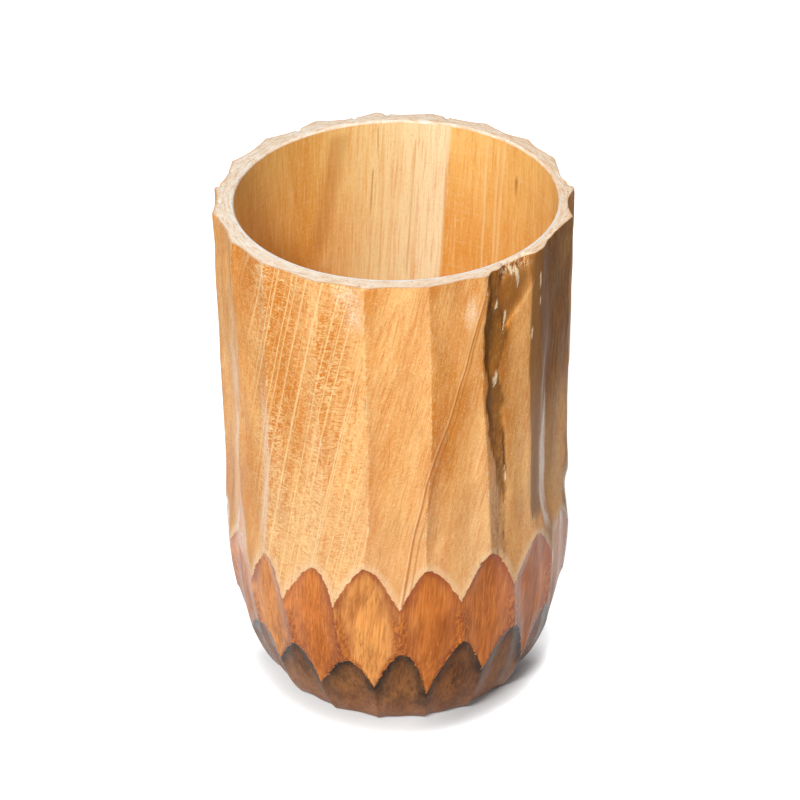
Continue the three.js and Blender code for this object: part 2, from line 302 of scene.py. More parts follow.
# A gouge is pushed by hand, so that ridges waver, by so many degrees, floors are never quite even, by
# so many mm, and the edge of the rim has small nicks, so deep and so far down
RIDGE_WAVER = 0.45
FLOOR_WAVES = 0.12
FLOOR_PATCHES = 0.05
NICK_DEPTH = 0.5
NICK_DROP = 0.35
azimuth, radius, z = points.T
wavering = RIDGE_WAVER * waves(azimuth, z, 10, 9, 110, 28) * smooth(HEIGHT - z, 0, 8) * smooth(z, 0, 12)
uneven = FLOOR_WAVES * waves(azimuth, z, 24, 34, 90, 14) + FLOOR_PATCHES * patches(azimuth, z, 60, 9)
ragged = patches(azimuth, z, 150, 2.5) + 0.5 * patches(azimuth, z, 250, 1.6)
nicked = smooth(patches(azimuth, z, 190, 2), 0.5, 0.95) * smooth(z, 145.5, 147.6)

# Behind one ridge the grain has torn out. A dark trough runs down beside the ridge: its height, the
# azimuths of its steep left wall and of its right edge, and its depth in mm, which is cut to a share
TROUGH_SHARE = 0.75
TROUGH = [
    [148, 29.8, 33.2, 0.9], [142.6, 29.5, 31.8, 1.3], [137.5, 29.3, 33.4, 1.9], [132, 29.2, 36.4, 2.3],
    [128.5, 29.4, 37.0, 2.4], [124, 30.0, 36.2, 2.2], [117, 30.8, 33.9, 1.6], [109, 30.5, 36.8, 2.0],
    [99, 31.2, 37.4, 2.1], [91, 32.8, 37.2, 1.7], [83, 33.8, 37.7, 1.1], [76, 34.2, 38.2, 0.5],
    [70, 34.4, 38.2, 0]]
left, right = between(z, TROUGH, 1), between(z, TROUGH, 2)
trough_width = np.radians(right - left) * (BORE_RADIUS + RIM_WALL)
past_wall = gap_round(azimuth, left) + 0.45 * ragged
trough = within(past_wall, -0.5, 1.7, 0.6 * trough_width, 1.15 * trough_width) * smooth(z, 70, 80)

# Right of its top a wedge has split down to a point: its height and the azimuths of its sides. And
# the rim above it has broken away, down to a torn edge. How deep in mm the one goes and the other, and
# how far the torn edge lies below the rim.
WEDGE_DEPTH = 0.75
TORN_DEPTH = 1.1
TORN_DROP = 0.9
WEDGE = [[148, 34.0, 52.0], [142.6, 31.5, 51.5], [139, 32.8, 49.3], [135.6, 34.4, 46.5], [133.5, 35.6, 43.4],
         [131.1, 36.6, 40.1], [128.8, 36.9, 37.3]]
left, right = between(z, WEDGE, 1), between(z, WEDGE, 2)
share = np.clip((azimuth - left) / (right - left), 0, 1)
wedge = within(share, 0, 0.2, 0.7, 1) * smooth(z, 127, 131)
# Along the wedge's right edge, where it rises to the face beyond, a painted highlight
wedge_edge_highlight = within(share, 0.78, 0.9, 0.94, 1) * within(z, 127, 131, 136, 144)
from_torn = np.abs(gap_round(azimuth, 42.0) + 0.7 * ragged)
torn = (1 - smooth(from_torn, 3.8, 5.8)) * smooth(z + 0.7 * ragged, 143.2, 146.6)


def spots(table, faded):
    """1 in the middle of each spot of a table and 0 from so many times its size: its azimuth and
    height, and half its width and half its height in mm."""
    most = np.zeros(len(points))
    for at_azimuth, at_height, half_width, half_height in table:
        across = gap_round(points[:, 0], at_azimuth) / half_width
        off = np.hypot(across, (points[:, 2] - at_height) / half_height)
        most = np.maximum(most, 1 - smooth(off, 0.2, faded))
    return most


# What stands out of the tears: flakes and bundles of fibre, so many mm high
FLAKE_HEIGHT = 0.12
FLAKES = [[33.7, 137.6, 0.7, 2.2], [38.4, 132.8, 0.7, 2.4], [36.9, 129.3, 0.5, 2.0], [34.4, 115.3, 0.7, 3.6],
          [37.8, 84.2, 0.3, 4.0], [37.0, 146.6, 1.2, 2.0], [42.5, 143.6, 0.9, 4.4], [40.3, 146.0, 1.0, 2.4],
          [51.9, 139.0, 0.4, 3.0], [51.9, 133.0, 0.4, 2.0], [48.3, 124.5, 0.4, 2.5]]
flake = spots(FLAKES, 1.5)

# The next ridge to the right is planed off flat, so far below its top. No wood stands more than this
# proud of the ridges' circle.
PROUD = 0.05
FACET = [[148, 50.8], [138, 50.7], [130, 50.3], [117, 50.7], [104, 51.8], [91, 52.5], [78, 53.0], [64, 53.7]]
FACET_HALF = 2.6
PLANED_HIGH = 0.75
PLANED_LOW = 1.0
off_facet = gap_round(azimuth, between(z, FACET, 1))
planed = (PLANED_LOW + (PLANED_HIGH - PLANED_LOW) * smooth(z, LOW_WALL, HIGH_WALL)) * smooth(z, 56, 66)
facet_plane = (ridge_radius(z) - planed) / np.cos(off_facet / ridge_radius(z))
facet = (1 - smooth(np.abs(off_facet), 0.8 * FACET_HALF, 1.1 * FACET_HALF)) * smooth(z, 58, 66)

# Low on the wall the gouge went a second time beside some of the ridges, and left their sides steeper:
# the heights and azimuths of the crease, which way it goes from there, its depth and how far off it
# is deepest, how many times as far off the blade polished it, and the heights between which it comes
# in at its foot and fades out at its head
SECOND_PASSES = (
    ([[148, 53.9], [104, 54.9], [91, 55.6], [78, 56.1], [64, 56.8], [50, 58]],
     1, 0.85, 4.4, 1.2, (54, 64), (104, 120)),
    ([[148, -60.5], [116, -60.5], [100, -61.4], [83, -62.3], [66, -62.5], [50, -60.5]],
     -1, 0.8, 4.8, 2.8, (44, 54), (100, 116)),
    ([[148, -44], [107, -44], [95, -43.9], [82, -44.5], [68, -45.4], [50, -48]],
     -1, 0.55, 3.5, 1.4, (52, 60), (86, 98)))
second_pass = 0.0
polished = np.zeros(len(points))
for crease, way, depth, reach, shine, (foot_end, full_low), (full_high, head_end) in SECOND_PASSES:
    off = way * gap_round(azimuth, between(z, crease, 1))
    rise = np.clip(off / reach, 0, 1) ** 1.3 * (1 - smooth(off, reach, 3.5 * reach))
    second_pass = second_pass + depth * rise * within(z, foot_end, full_low, full_high, head_end)
    on_side = within(off, -0.3, 0.6, 0.9 * reach, shine * reach) * smooth(z, foot_end, full_low)
    polished = np.maximum(polished, on_side)
radius = radius - uneven - TROUGH_SHARE * trough * (between(z, TROUGH, 3) + 0.3 * ragged)
radius = radius - wedge * (WEDGE_DEPTH + 0.15 * ragged)
radius = np.where(np.abs(off_facet) < 2 * FACET_HALF, np.minimum(radius, facet_plane), radius)
radius = radius - second_pass + FLAKE_HEIGHT * flake
radius = np.minimum(radius, ridge_radius(z) + PROUD)
radius = radius - torn * (TORN_DEPTH + 0.5 * ragged) - NICK_DEPTH * nicked
z = z - (TORN_DROP * torn * (1 + 0.5 * ragged) + NICK_DROP * nicked) * smooth(z, HEIGHT - 4, HEIGHT)
turned_azimuth = np.radians(azimuth + wavering)
outside = np.stack([radius * np.sin(turned_azimuth), -radius * np.cos(turned_azimuth), z], axis=1)
outside = np.clip(outside, *(np.array([list(corner) for corner in cad_box]) / MM))


def edge_lines(point, left_notch, right_notch):
    """Both sides of every point, finely divided, with those of the points beside it, in mm on the
    unrolled wall."""
    lines = []
    for step in (-1, 0, 1):
        start = beside(point, step)
        for notch, bluntness in ((left_notch, LEFT_BLUNTNESS), (right_notch, RIGHT_BLUNTNESS)):
            lines.append(side_of_cuts(start, (beside(notch, step), LINE_ROWS, bluntness)))
    return np.concatenate(lines, axis=1) * UNROLLED


def into_tier(lines, first_below):
    """The distance in mm from every point to the nearest edge line, above zero in the tiers below it."""
    signed = []
    for number, tier in enumerate(tiers):
        group = tier[..., [0, 2]].reshape(RIDGES, -1, 1, 2) * UNROLLED
        reach = [np.sqrt(((one - line) ** 2).sum(axis=-1).min(axis=-1)) for one, line in zip(group, lines)]
        signed.append(np.minimum(np.stack(reach), FAR).ravel() * (1 if number >= first_below else -1))
    return np.concatenate(signed)


# The edges are divided so finely, and distances are counted up to so many mm
LINE_ROWS = 60
FAR = 20
UNROLLED = np.array([math.radians(1) * (BORE_RADIUS + RIM_WALL), 1])
into_upper = into_tier(edge_lines(upper_point, last_notch, upper_notch), 1)
into_lower = into_tier(edge_lines(lower_point, lower_notch, next_low_notch), 2)

# The turned part is carried on the same columns as the carving: from the outer edge of the rim over
# its face and the lip, down the bore, through the hole for the plug, and out over the ring of the foot
tops = first_of_tier[0][:, 0, :-1].ravel()
feet = first_of_tier[2][:, -1, :-1].ravel()
columns = len(tops)


def profile_arc(r, z, radius, start, end, steps):
    """Points (radius, height) of an arc about (r, z), from one angle in degrees to another."""
    angle = np.radians(np.linspace(start, end, steps + 1))
    return np.stack([r + radius * np.cos(angle), z + radius * np.sin(angle)], axis=1)


def rings_of(profile, centre):
    """A ring of points for each (radius, height) of a profile, each in the direction of its column
    from the centre."""
    out = outside[tops, :2] - [centre, 0]
    out = out / np.linalg.norm(out, axis=1)[:, None]
    flat = [centre, 0] + profile[:, None, :1] * out
    return np.concatenate([flat, np.broadcast_to(profile[:, None, 1:], flat[..., :1].shape)], axis=-1)


def across(outer, inner, shares):
    """Rings between two others, at shares of the way from the first to the second."""
    return outer + (inner - outer) * np.array(shares)[:, None, None]


SEAT_GAP = 0.01
HOLE_CHAMFER = 0.2
RECESS_CHAMFER = 0.3
FOOT_CHAMFER = 0.4
shoulder_radius = PLUG_RADIUS - PLUG_SHOULDER
shoulder_height = FOOT_RECESS + PLUG_FLANGE
recess_radius = FOOT_RADIUS - FOOT_RING
lip = profile_arc(BORE_RADIUS + LIP_ROUNDING, HEIGHT - LIP_ROUNDING, LIP_ROUNDING, 90, 180, 6)
wall = [[BORE_RADIUS, height] for height in (135, 120, 105, 90, 75, 60, 48)]
corner = profile_arc(BORE_RADIUS - BORE_CORNER, FLOOR_THICKNESS + BORE_CORNER, BORE_CORNER, 0, -90, 12)
bore = rings_of(np.concatenate([lip, wall, corner]), BORE_SHIFT)
hole = rings_of(np.array([
    [shoulder_radius + HOLE_CHAMFER, FLOOR_THICKNESS], [shoulder_radius, FLOOR_THICKNESS - HOLE_CHAMFER],
    [shoulder_radius, shoulder_height + SEAT_GAP], [PLUG_RADIUS, shoulder_height],
    [PLUG_RADIUS, FOOT_RECESS + HOLE_CHAMFER], [PLUG_RADIUS + HOLE_CHAMFER, FOOT_RECESS],
    [recess_radius - RECESS_CHAMFER, FOOT_RECESS], [recess_radius, FOOT_RECESS - RECESS_CHAMFER],
    [recess_radius, FOOT_CHAMFER], [recess_radius + FOOT_CHAMFER, 0]]), 0)
rim_edge = outside[tops]
rim_flat = rim_edge * [1, 1, 0] + [0, 0, HEIGHT]
rim_shares = [0.1, 0.25, 0.45, 0.65, 0.85]
rim = across(rim_flat, bore[0], rim_shares)
rim[..., 2] -= (HEIGHT - rim_edge[:, 2]) * (1 - smooth(np.array(rim_shares)[:, None], 0, 0.5))
foot = across(hole[-1], outside[feet], [0.3, 0.7, 0.93])
rings = np.concatenate([rim, bore, hole, foot])
ring_index = count + np.arange(len(rings) * columns).reshape(len(rings), columns)
ring_index = np.concatenate([tops[None], ring_index, feet[None]])
a, c = ring_index[:-1], ring_index[1:]
b, d = np.roll(a, -1, axis=1), np.roll(c, -1, axis=1)
turned = np.concatenate([np.stack(three, axis=-1).reshape(-1, 3) for three in ((a, b, c), (b, d, c))])
band = np.tile(np.repeat(np.arange(len(ring_index) - 1), columns), 2)
finish_of_turned = np.select([band < len(rim) + len(lip), band < len(rim) + len(bore)], [1, 2], 3)
inward = np.ones(rings.shape[:2])
inward[:len(rim)] = np.array(rim_shares)[:, None]

# Both parts as one closed mesh: points that fall together become one, and flat triangles go
turned_points = rings.reshape(-1, 3)
every_point = np.concatenate([outside, turned_points])
triangles = np.concatenate([carved, turned])
finish_index = np.concatenate([np.zeros(len(carved), int), finish_of_turned])
_, kept, merged = np.unique(np.round(every_point, 3), axis=0, return_index=True, return_inverse=True)
corners = merged.ravel()[triangles]
real = (corners != np.roll(corners, 1, axis=1)).all(axis=1)
triangles, corners, finish_index = triangles[real], corners[real], finish_index[real]
mesh = bpy.data.meshes.new("carved_cup")
mesh.from_pydata(every_point[kept] * MM, [], corners)
mesh.polygons.foreach_set("material_index", finish_index)
mesh.polygons.foreach_set("use_smooth", np.ones(len(corners), bool))


def keep(name, carved_values, turned_values=0.0):
    """Stores a number for every corner of every triangle, so that it may jump from one to the next."""
    values = [np.broadcast_to(carved_values, len(points)), np.broadcast_to(turned_values, len(turned_points))]
    layer = mesh.attributes.new(name, "FLOAT", "CORNER")
    layer.data.foreach_set("value", np.concatenate(values)[triangles].ravel().astype(np.float32))


# What the finish needs to know of each place: how far it lies below the edges of the scales, where
# it is across its cut, how light its scale took the stain and how pale the wood is, and where the
# wood is torn, dark with old bark and painted shade, flecked, powdery, polished or crossed by a dark
# line of the grain
LINE_AT = [[148, 30.2], [144, 28.9], [133, 26.6], [121.8, 23.3], [116.3, 20.7], [106.3, 16.8], [99.1, 13.5],
           [90.1, 10.3], [80.6, 8.7], [71.1, 6.4], [64.7, 4.8], [50, 1]]
UPPER_TINT = [0.9, 0.25, 0.2, 0.15, 0.5, 0.3, 0.7, 0.4, 0.6, 0.2, 0.5, 0.8, 0.3, 0.6, 0.4, 0.5, 0.45, 0.65,
              0.25]
# An azimuth, and the paleness of the wood there near the rim and near the scales
PALENESS = np.array([[-75, 1.0, 0.75], [-50, 0, 0.55], [-35, 0.15, 0.85], [-17, 0.65, 0.8], [0, 0.8, 0.8],
                     [20, 0.25, 0.65], [38, 0.15, 0.65], [60, 0.2, 0.5], [130, 0.6, 0.6], [220, 0.3, 0.5]])
# Pale, powdery patches
POWDERY = [[-14.5, 145.0, 5, 4], [-12, 139, 3, 6], [24.4, 138, 2.2, 6], [-44.5, 145, 0.8, 4.5]]
azimuth, _, z = points.T
to_middle = np.linspace(-1, 1, CUT_COLUMNS + 1)
across_cut = [np.broadcast_to(to_middle, tier.shape[:3]).ravel() for tier in tiers]
tints = [np.zeros(RIDGES), np.array(UPPER_TINT), chance.uniform(0, 1, RIDGES)]
tint = [np.repeat(one, tier[0, ..., 0].size) for one, tier in zip(tints, tiers)]
facet_azimuth = between(z, FACET, 1)
dark_flute = within(azimuth, facet_azimuth + 2.4, facet_azimuth + 3.6, 74.5, 77)
grey_flute = within(azimuth, 76, 78, 92, 96)
left_front = within(azimuth % 360, 300, 313, 344, 356)
left_back = within(azimuth % 360, 205, 225, 255, 275)
pale_at, *pale_columns = PALENESS.T
pale_high, pale_low = (np.interp(azimuth, pale_at, column, period=360) for column in pale_columns)
from_line = gap_round(azimuth, between(z, LINE_AT, 1))
keep("into_upper", into_upper, -FAR)
keep("into_lower", into_lower, -FAR)
keep("across_cut", np.concatenate(across_cut))
keep("tint", np.concatenate(tint))
keep("paleness", pale_low + (pale_high - pale_low) * smooth(z, 70, 130))

# The trough is painted dark, with dirt and with painted shade of the torn hollow, wider so above,
# and at its left less so low down. Under its foot the wood is worn and has two scores, and a
# near-black crack runs along its right edge.
dark_right = trough_width + (0.2 * trough_width + 0.5) * smooth(z, 102, 110)
dark_trough = within(past_wall, -0.3, 0.5, 0.8 * dark_right, 1.15 * dark_right) * smooth(z, 73, 80)
at_left = 1 - smooth(past_wall, 0.4 * trough_width, 0.6 * trough_width)
dark_trough = dark_trough * (1 - 0.5 * at_left * (1 - smooth(z, 96, 104)))
worn = 0.4 * within(azimuth, 30, 32, 37.5, 39) * within(z, 55, 62, 78, 90)
scores = np.maximum(1 - np.abs(gap_round(azimuth, 34.2)) / 0.7, 1 - np.abs(gap_round(azimuth, 37)) / 0.6)
scores = np.clip(scores, 0, 1) * within(z, 55, 60, 76, 82)
crack = np.clip(1.3 - np.abs(gap_round(azimuth, 37.5) + 0.15 * ragged) / 0.4, 0, 1)
keep("trough", np.maximum.reduce([dark_trough, worn, 0.8 * scores]))
keep("split", crack * within(z, 82, 86, 97, 102))
keep("wedge", wedge)
keep("wedge_edge_highlight", wedge_edge_highlight)
keep("torn", torn)
keep("flake", flake)
keep("facet", facet * smooth(z, 58, 70))
keep("powdery", spots(POWDERY, 1.4))
keep("polished", polished)
# Down the flutes at the right the wood is painted dark brown: in part old bark, in part painted shade of
# flutes turned away from the lamp, darkest high up
keep("bark_and_shade", (dark_flute + 0.45 * grey_flute) * (0.35 + 0.65 * smooth(z, 78, 116)))
keep("flecked", left_front + 0.6 * left_back)
keep("from_line", np.clip(from_line, -FAR, FAR))
keep("near_line", 1 - smooth(np.abs(from_line), 7, 13))
keep("inward", 0.0, inward.ravel())

# Edges that turn by more degrees than this, such as the rim's, are drawn sharp, and all others smooth
SHARP_CREASE = 62
mesh.validate()
mesh.set_sharp_from_angle(angle=math.radians(SHARP_CREASE))


def stand(name, data):
    """An object in the scene with this data, at the origin."""
    made = bpy.data.objects.new(name, data)
    bpy.context.scene.collection.objects.link(made)
    return made


cup = stand("carved_cup", mesh)


MATH, MIX, RANGE, NOISE = "ShaderNodeMath", "ShaderNodeMix", "ShaderNodeMapRange", "ShaderNodeTexNoise"
VECTOR, ATTRIBUTE, APART = "ShaderNodeVectorMath", "ShaderNodeAttribute", "ShaderNodeSeparateXYZ"


def linear(code):
    """An sRGB hex colour as linear red, green, blue and alpha."""
    shown = np.array([int(code[i:i + 2], 16) / 255 for i in (1, 3, 5)])
    return (*np.where(shown <= 0.04045, shown / 12.92, ((shown + 0.055) / 1.055) ** 2.4), 1.0)


def add(tree, kind, sockets=(), out=0, **settings):
    """Adds a node with its settings, its sockets' values and its links, and returns the output that
    is asked for. A hex code stands for its colour."""
    made = tree.nodes.new(kind)
    for name, value in settings.items():
        setattr(made, name, value)
    for name, value in dict(sockets).items():
        if isinstance(value, bpy.types.NodeSocket):
            tree.links.new(value, made.inputs[name])
        else:
            made.inputs[name].default_value = linear(value) if isinstance(value, str) else value
    return made.outputs[out] if made.outputs else None


def new_material(name):
    """A material of this name, with its node tree, which is empty."""
    made = bpy.data.materials.new(name)
    made.use_nodes = True
    made.node_tree.nodes.clear()
    return made, made.node_tree


def in_mm(tree):
    """Object coordinates in mm, and then the three of them apart."""
    metres = add(tree, "ShaderNodeTexCoord", out="Object")
    place = add(tree, VECTOR, {0: metres, 1: [1 / MM] * 3}, operation="MULTIPLY")
    return place, add(tree, APART, {0: place}).node.outputs


def along_grain(tree, place, height, lean):
    """Coordinates pushed back in X by so many mm for each mm up, so that in them leaning grain stands
    upright."""
    back = add(tree, VECTOR, {0: height, 1: (-lean, 0, 0)}, operation="MULTIPLY")
    return add(tree, VECTOR, {0: place, 1: back}, operation="ADD")


def grain_patterns(tree, rows):
    """Noise by name. A row has the coordinates that it follows, its width in mm, how fast it changes
    up the cup against across it, and its detail, roughness and distortion."""
    made = {}
    for name, place, width, upward, detail, roughness, distortion in rows:
        stretched = add(tree, VECTOR, {0: place, 1: (1, 1, upward)}, operation="MULTIPLY")
        made[name] = add(tree, NOISE, {"Vector": stretched, "Scale": 1 / width, "Detail": detail,
                                       "Roughness": roughness, "Distortion": distortion})
    return made


def fray(tree, value, noise, by):
    """A value with noise of so much either way over it, so that what is read from it has a frayed edge."""
    off = add(tree, RANGE, {0: noise, 3: -by, 4: by})
    return add(tree, MATH, {0: value, 1: off}, operation="ADD")


def together(tree, *shares):
    """The product of several shares. Each is a socket, or a source, the two values of it between
    which the share goes from 0 to 1, and its ends where they aren't 0 and 1."""
    product = None
    for share in shares:
        if isinstance(share, tuple):
            source, low, high, *ends = share
            start, end = ends or (0, 1)
            share = add(tree, RANGE, {0: source, 1: low, 2: high, 3: start, 4: end})
        product = add(tree, MATH, {0: share, 1: product}, operation="MULTIPLY") if product else share
    return product


def lay_over(tree, base, rows):
    """Lays colours over a base colour, one after another. A row has what its share is read from, the
    values there at which the share is 0 and at its most and that most, unless they are 0, 1 and 1,
    and the colour."""
    for source, *ends, colour in rows:
        none_at, most_at, most = ends or (0, 1, 1)
        share = add(tree, RANGE, {0: source, 1: none_at, 2: most_at, 3: 0, 4: most})
        base = add(tree, MIX, {0: share, 6: base, 7: colour}, 2, data_type="RGBA")
    return base


def end_material(tree, height, depth, sockets, also=()):
    """The surface with these sockets, and the height as its relief, so many mm deep. The relief goes
    to other normals too if they are named."""
    relief = add(tree, "ShaderNodeBump", {"Strength": 1.0, "Distance": depth * MM, "Height": height})
    normals = dict.fromkeys(("Normal", *also), relief)
    surface = add(tree, "ShaderNodeBsdfPrincipled", {**sockets, **normals})
    add(tree, "ShaderNodeOutputMaterial", {"Surface": surface})


# The lacquered outside: a light golden hardwood, gouged and left from the tool. Its grain leans to
# the right. At the left of the front the growth rings come up edge-on, as pale pore lines with
# rippled fleck between them, and further right the wood is plain, with one dark double line. Real
# fibres and pores are a tenth of a millimetre wide. They are drawn up to four times as coarse, to
# show. Left of the middle it stands straighter, by so much for each mm left and up.
GRAIN_LEAN = 0.23
STAIN_LEAN = 0.07
STRAIGHTER_AT_LEFT = 0.0018
lacquered, tree = new_material("gouged hardwood, stained scales, satin lacquer")
place, at = in_mm(tree)
upright = along_grain(tree, place, at["Z"], GRAIN_LEAN)
left_of_middle = add(tree, MATH, {0: at["X"], 1: 0.0}, operation="MINIMUM")
back = add(tree, MATH, {0: at["Z"], 1: -STRAIGHTER_AT_LEFT}, operation="MULTIPLY")
back = add(tree, MATH, {0: left_of_middle, 1: back}, operation="MULTIPLY")
back = add(tree, "ShaderNodeCombineXYZ", {"X": back})
upright = add(tree, VECTOR, {0: upright, 1: back}, operation="ADD")
steep = along_grain(tree, place, at["Z"], STAIN_LEAN)
pattern = grain_patterns(tree, (
    ("broad", upright, 13, 0.3, 3, 0.55, 0), ("bands", upright, 3.2, 0.04, 2, 0.5, 0),
    ("fibre", upright, 0.45, 0.05, 2, 0.7, 0), ("grit", upright, 0.45, 0.8, 2, 0.7, 0.4),
    ("speck", upright, 0.8, 0.5, 2, 0.6, 0.6), ("ripple", upright, 1.2, 2.2, 2, 0.6, 1.0),
    ("wander", upright, 1.6, 1, 2, 0.5, 0), ("bend", upright, 20, 0.05, 1, 0.5, 0),
    ("pooled", steep, 6, 0.35, 3, 0.55, 0), ("streaked", steep, 0.6, 0.05, 3, 0.65, 0)))
layers = [layer.name for layer in mesh.attributes if (layer.domain, layer.data_type) == ("CORNER", "FLOAT")]
kept_value = {name: add(tree, ATTRIBUTE, out="Fac", attribute_name=name) for name in layers}
from_middle = add(tree, MATH, {0: kept_value["across_cut"]}, operation="ABSOLUTE")
frayed = {name: fray(tree, kept_value[name], pattern[noise], by) for name, noise, by in (
    ("trough", "speck", 0.45), ("wedge", "streaked", 0.5), ("wedge_edge_highlight", "streaked", 0.5),
    ("facet", "streaked", 0.5), ("flake", "fibre", 0.7), ("powdery", "grit", 2),
    ("from_line", "bands", 0.6), ("across_cut", "bands", 0.5), ("into_upper", "wander", 0.8))}

# The wood is paler in broad patches. Across each flute it is painted paler on the right-hand side,
# which faces the lamp, and darker on the left: painted light and shade
paleness = kept_value["paleness"]
for source, low, high, darker, paler in (
        (pattern["broad"], 0.3, 0.7, -0.5, 0.5), (kept_value["across_cut"], -1, 1, -0.38, 0.3)):
    more = add(tree, RANGE, {0: source, 1: low, 2: high, 3: darker, 4: paler})
    paleness = add(tree, MATH, {0: paleness, 1: more}, operation="ADD")

# Pore lines stand where rings round the heart of the tree, left of the cup, come to the surface
HEART = (-100, -24, 0)
flat = add(tree, VECTOR, {0: upright, 1: (1, 1, 0)}, operation="MULTIPLY")
from_heart = add(tree, VECTOR, {0: flat, 1: HEART}, out="Value", operation="DISTANCE")
from_heart = add(tree, MATH, {0: pattern["bend"], 1: 6.0, 2: from_heart}, operation="MULTIPLY_ADD")
broken = add(tree, RANGE, {0: pattern["grit"], 1: 0.35, 2: 0.6, 3: 0.3})
marks = together(tree, (pattern["ripple"], 0.5, 0.6), (pattern["pooled"], 0.4, 0.62, 0.3, 0.75))
for spacing, half_width, strength in ((3.7, 0.11, 1.0), (5.9, 0.1, 0.9), (2.3, 0.07, 0.5)):
    to_ring = add(tree, MATH, {0: from_heart, 1: spacing / 2}, operation="PINGPONG")
    pore = together(tree, (to_ring, half_width + 0.08, half_width - 0.04, 0, strength), broken)
    marks = add(tree, MATH, {0: pore, 1: marks}, operation="MAXIMUM")
marks = together(tree, marks, kept_value["flecked"])
hollow = together(tree, (pattern["ripple"], 0.46, 0.36, 0, 0.55), kept_value["flecked"])

# The double line: two thin dark lines that part on their way down, with a painted highlight on the
# left of them
from_first = frayed["from_line"]
parted = add(tree, RANGE, {0: at["Z"], 1: 142, 2: 112, 3: 0.2, 4: 1.5})
from_second = add(tree, MATH, {0: from_first, 1: parted}, operation="SUBTRACT")
lines = []
for gap, strength in ((from_first, 0.75), (from_second, 0.5)):
    gap = add(tree, MATH, {0: gap}, operation="ABSOLUTE")
    lines.append(add(tree, RANGE, {0: gap, 1: 0.42, 2: 0.05, 3: 0, 4: strength}))
double = add(tree, MATH, {0: lines[1], 1: lines[0]}, operation="MAXIMUM")
double = together(tree, double, kept_value["near_line"])
highlight_left_of_line = together(tree, (from_first, -0.2, -0.4, 0, 0.45), (from_first, -0.9, -0.4), kept_value["near_line"])

# Dark brown in the trough and down the flutes at the right: old bark and dirt, and with them painted
# shade of hollows turned away from the lamp. Torn fibres are pale, and so are the chipped ridges, and
# a narrow band above the stained scales is painted paler, as a painted sheen.
dirt_and_shade = fray(tree, frayed["trough"], pattern["streaked"], 0.5)
dirt_and_shade = add(tree, RANGE, {0: dirt_and_shade, 1: 0.1, 2: 1.0, 3: 0, 4: 0.85})
bark_and_shade = together(tree, (pattern["streaked"], 0.3, 0.7, 0.6, 1), kept_value["bark_and_shade"])
fibres = add(tree, RANGE, {0: frayed["flake"], 1: 0.45, 2: 0.8, 3: 0, 4: 0.95})
# A narrow band above the stained scales is painted paler: a painted sheen. The lacquer lies thicker there
# too.
sheen_and_lacquer_band = add(tree, RANGE, {0: frayed["into_upper"], 1: -2.4, 2: -1.0})
chips = together(tree, (from_middle, 0.94, 0.99), (pattern["speck"], 0.56, 0.62))
splinters = lay_over(tree, "#945426", [(pattern["fibre"], 0.44, 0.6, 1, "#f2cd96")])
wood = lay_over(tree, "#d3822c", (
    (paleness, "#fac07a"),
    (pattern["bands"], 0.45, 0.72, 0.45, "#cc7428"),
    (pattern["fibre"], 0.5, 0.72, 0.65, "#d67824"),
    (pattern["fibre"], 0.46, 0.25, 0.5, "#fdd594"),
    (pattern["grit"], 0.46, 0.25, 0.6, "#fdd89c"),
    (pattern["grit"], 0.52, 0.72, 0.65, "#d67824"),
    (hollow, "#cd7020"),
    (at["Z"], 92, 58, 0.22, "#e8c094"),
    (marks, "#fbd89c"),
    (frayed["powdery"], 0.45, 1.3, 0.6, "#fce6c6"),
    (sheen_and_lacquer_band, 0, 1, 0.4, "#f6d3a6"),
    (highlight_left_of_line, "#fcd9a6"),
    (double, "#b0601c"),
    (chips, 0, 1, 0.6, "#fbdfb8"),
    # The planed facet, painted darker brown: in part painted shade of a face turned from the lamp
    (frayed["facet"], 0.15, 0.8, 0.85, "#8c5e30"),
    (bark_and_shade, 0, 1, 0.92, "#6f4c30"),
    # The wedge's concave face is painted darker, in part as painted shade, and its right edge paler, as a
    # painted highlight
    (frayed["wedge"], 0.1, 0.9, 0.7, "#96602a"),
    (frayed["wedge_edge_highlight"], 0.35, 1.1, 0.6, "#e8bb7c"),
    (dirt_and_shade, "#70491f"),
    (kept_value["split"], 0, 1, 0.9, "#3a2312"),
    (kept_value["torn"], splinters),
    (fibres, "#f6dcb4")))

# Stain on the scales, brushed on up to their edges: red-brown, darker where it pooled at the tips
# and edges and mottled along the ridges, and dark brown below, nearly black along the upper edges
wander = add(tree, RANGE, {0: pattern["wander"], 1: 0.3, 2: 0.7, 3: -0.35, 4: 0.35})
in_upper = add(tree, MATH, {0: kept_value["into_upper"], 1: wander}, operation="ADD")
in_lower = add(tree, MATH, {0: kept_value["into_lower"], 1: wander}, operation="ADD")
on_ridge = together(tree, (from_middle, 0.68, 0.84), (in_upper, 2.5, 5.0))
mottle = lay_over(tree, "#d98030", [(pattern["speck"], 0.36, 0.6, 1, "#8a3a16")])
edge_of_red = together(tree, (in_upper, 1.8, 0.2), (pattern["pooled"], 0.35, 0.6, 0.15, 0.85))
red = lay_over(tree, "#d06c26", (
    (kept_value["tint"], "#feb062"),
    (pattern["pooled"], 0.45, 0.68, 0.65, "#964a18"),
    (pattern["streaked"], 0.45, 0.75, 0.6, "#8c4014"),
    (pattern["streaked"], 0.44, 0.25, 0.55, "#f6ab58"),
    (pattern["fibre"], 0.5, 0.75, 0.4, "#7e3c15"),
    (frayed["across_cut"], 0.45, 0.95, 0.5, "#8a4420"),
    (on_ridge, 0, 1, 0.7, mottle),
    (edge_of_red, "#a14720")))
edge_of_brown = together(tree, (in_lower, 3.2, 0.4), (pattern["pooled"], 0.35, 0.55, 0.3, 0.95))
gold_chip = together(tree, (in_lower, 0.7, 0.1), (pattern["speck"], 0.6, 0.66))
